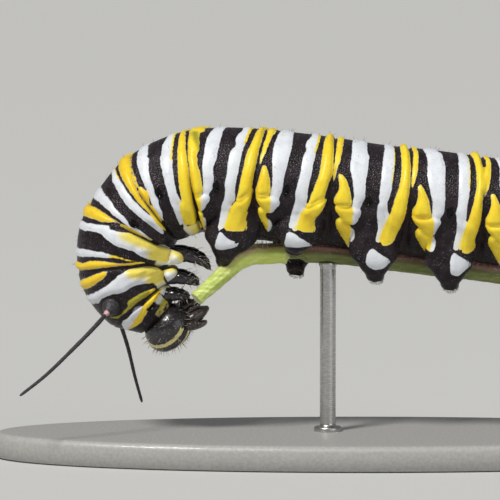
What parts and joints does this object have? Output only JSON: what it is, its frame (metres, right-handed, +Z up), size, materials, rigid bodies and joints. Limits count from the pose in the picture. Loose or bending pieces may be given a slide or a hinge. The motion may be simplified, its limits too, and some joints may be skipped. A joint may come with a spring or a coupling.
{
  "type": "monarch larva",
  "caption": "Full-grown monarch larva, banded black, white and yellow, gripping a cut stem with its prolegs and bending its head down, on an oval display stand.",
  "frame": {"origin": "middle of the stand base's underside, which is the bottom centre of the bounding box", "axes": "+X from the larva's head to its tail, +Z up, +Y towards the larva's right side"},
  "size_m": [0.046, 0.017, 0.0206],
  "materials": {
    "skin_banded": "soft skin with a low sheen, banded black, white and yellow",
    "skin_black": "soft black skin with a low sheen",
    "horn_black": "hard and glossy",
    "stem_green": "hairy green leaf stalk",
    "base_grey": "matt",
    "rod_steel": "satin"
  },
  "bodies": {
    "root": {"thorax_1": "skin_banded", "thorax_2": "skin_banded", "thorax_3": "skin_banded", "abdomen_1": "skin_banded", "abdomen_2": "skin_banded", "abdomen_3": "skin_banded", "abdomen_4": "skin_banded", "abdomen_5": "skin_banded", "abdomen_6": "skin_banded", "abdomen_7": "skin_banded", "abdomen_8": "skin_banded", "abdomen_9": "skin_banded", "abdomen_10": "skin_banded", "proleg_3_left": "skin_black", "proleg_3_right": "skin_black", "proleg_4_left": "skin_black", "proleg_4_right": "skin_black", "proleg_5_left": "skin_black", "proleg_5_right": "skin_black", "proleg_6_left": "skin_black", "proleg_6_right": "skin_black", "clasper_left": "skin_black", "clasper_right": "skin_black", "filament_front_left": "skin_black", "filament_front_right": "skin_black", "filament_rear_left": "skin_black", "filament_rear_right": "skin_black", "leg_1_left": "horn_black", "leg_1_right": "horn_black", "leg_2_left": "horn_black", "leg_2_right": "horn_black", "leg_3_left": "horn_black", "leg_3_right": "horn_black", "head": "horn_black", "mandible_left": "horn_black", "mandible_right": "horn_black", "labrum": "horn_black", "labium": "horn_black", "antenna_left": "horn_black", "antenna_right": "horn_black", "perch_stem": "stem_green", "stand_base": "base_grey", "stand_rod_front": "rod_steel", "stand_rod_rear": "rod_steel"}
  },
  "joints": []
}
